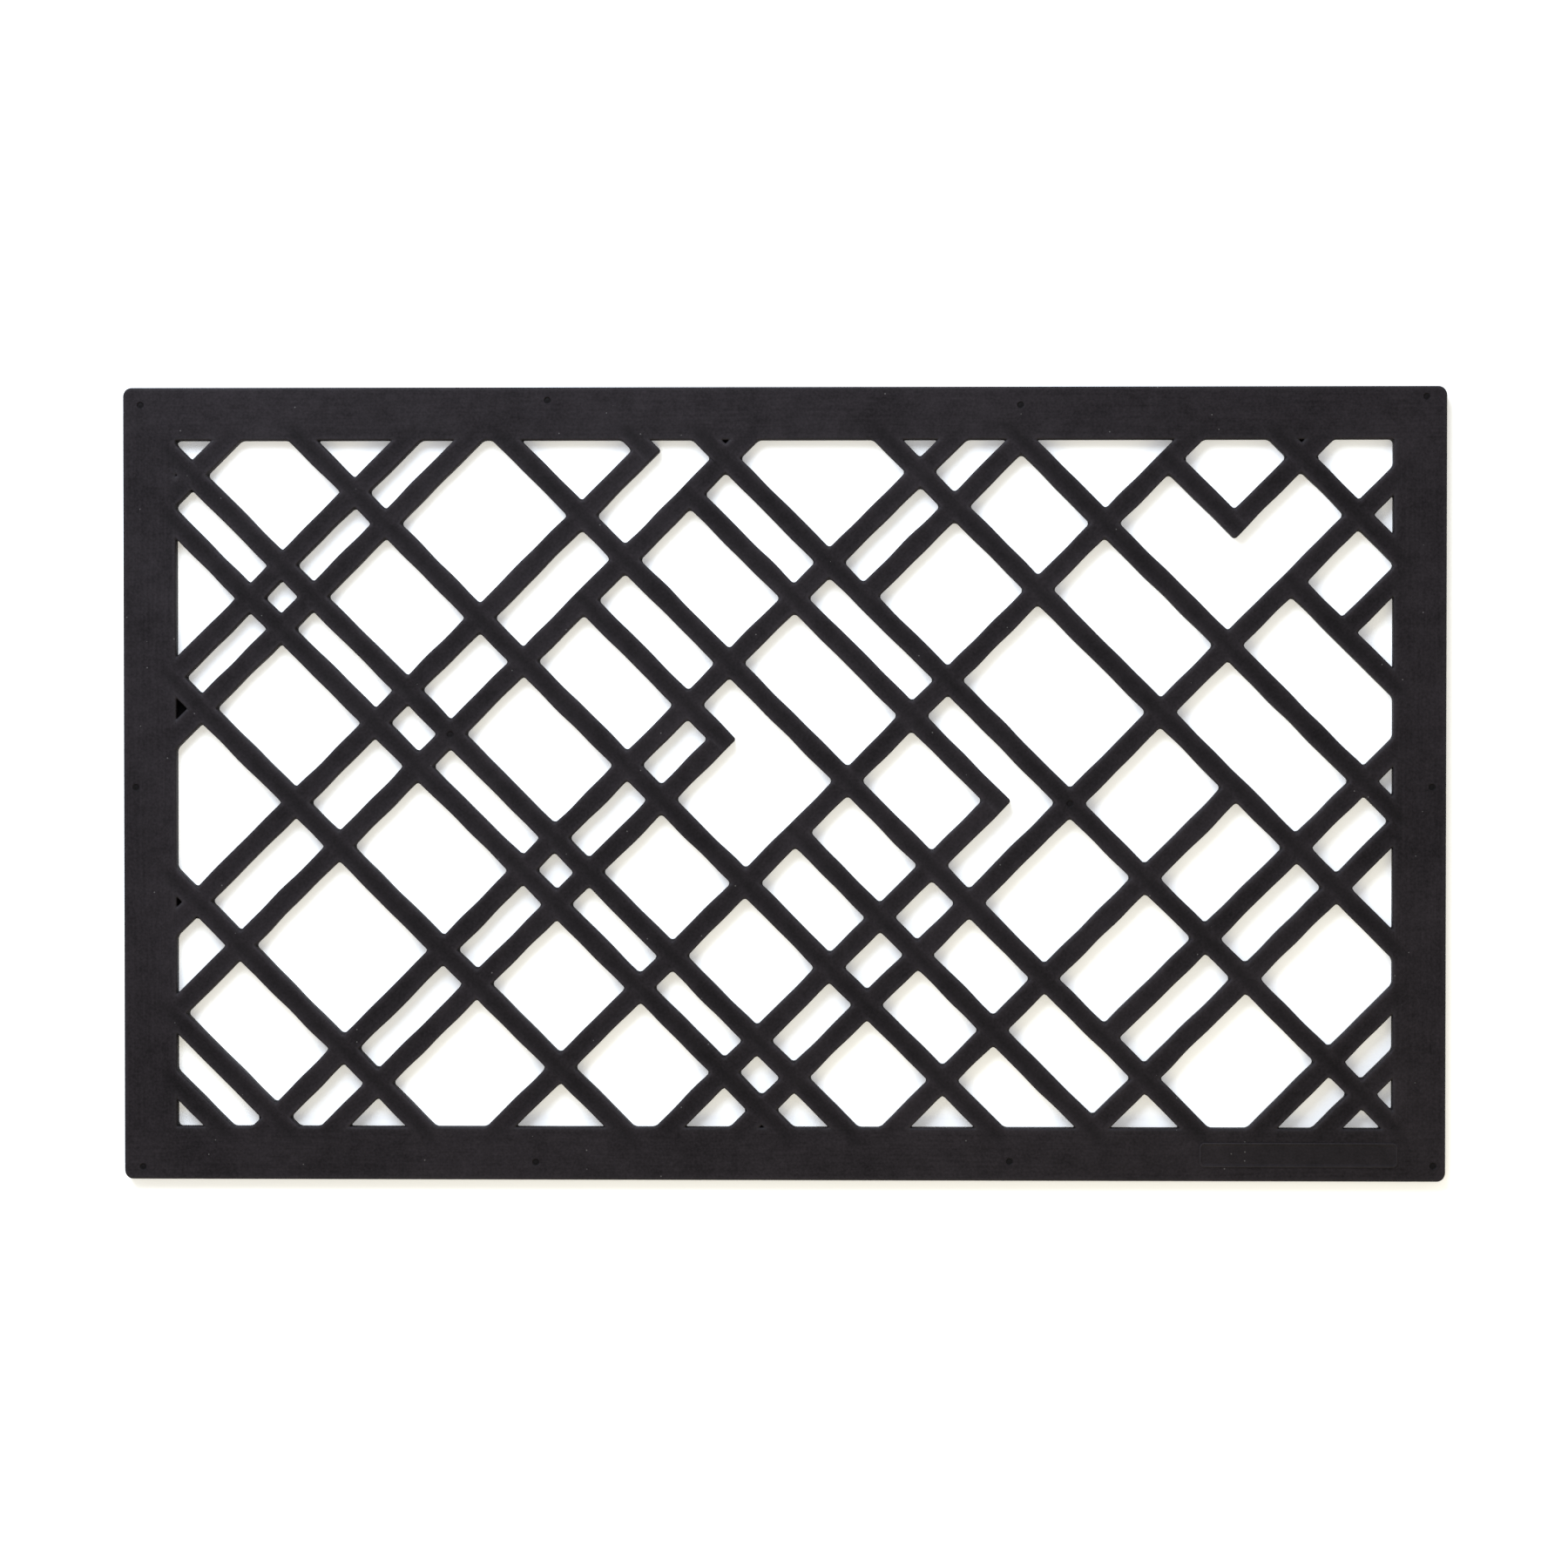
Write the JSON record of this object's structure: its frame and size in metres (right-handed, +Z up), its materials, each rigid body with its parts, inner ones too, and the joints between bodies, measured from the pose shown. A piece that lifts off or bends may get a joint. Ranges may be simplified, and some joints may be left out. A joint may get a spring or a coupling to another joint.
{
  "type": "door mat",
  "caption": "Flat rectangular rubber door mat: an open irregular lattice of crossing diagonal slats inside a broad plain border, for scraping shoes.",
  "frame": {"origin": "middle of the underside, on the floor", "axes": "+X along the mat's length, +Y across it towards the far long side, +Z up out of the tread face"},
  "size_m": [0.75, 0.45, 0.0094],
  "materials": {
    "border_rubber": "matte black moulded rubber with a fine satin skin",
    "slat_rubber": "matte black moulded rubber, slightly rounded edges",
    "label_rubber": "matte black moulded rubber, blank raised panel"
  },
  "bodies": {
    "root": {"border_bottom": "border_rubber", "border_left": "border_rubber", "border_right": "border_rubber", "border_top": "border_rubber", "fall_slat_01": "slat_rubber", "fall_slat_02": "slat_rubber", "fall_slat_03": "slat_rubber", "fall_slat_04": "slat_rubber", "fall_slat_05": "slat_rubber", "fall_slat_06": "slat_rubber", "fall_slat_07": "slat_rubber", "fall_slat_08": "slat_rubber", "fall_slat_09": "slat_rubber", "fall_slat_10": "slat_rubber", "fall_slat_11a": "slat_rubber", "fall_slat_11b": "slat_rubber", "fall_slat_12": "slat_rubber", "fall_slat_13": "slat_rubber", "fall_slat_14": "slat_rubber", "fall_slat_15a": "slat_rubber", "fall_slat_15b": "slat_rubber", "fall_slat_16": "slat_rubber", "label_pad": "label_rubber", "pocket_webs": "border_rubber", "rise_slat_01": "slat_rubber", "rise_slat_02": "slat_rubber", "rise_slat_03": "slat_rubber", "rise_slat_04": "slat_rubber", "rise_slat_05": "slat_rubber", "rise_slat_06": "slat_rubber", "rise_slat_07a": "slat_rubber", "rise_slat_07b": "slat_rubber", "rise_slat_08": "slat_rubber", "rise_slat_09": "slat_rubber", "rise_slat_10": "slat_rubber", "rise_slat_11": "slat_rubber", "rise_slat_12": "slat_rubber", "rise_slat_13": "slat_rubber", "rise_slat_14": "slat_rubber", "rise_slat_15": "slat_rubber", "rise_slat_16": "slat_rubber", "rise_slat_17": "slat_rubber"}
  },
  "joints": []
}
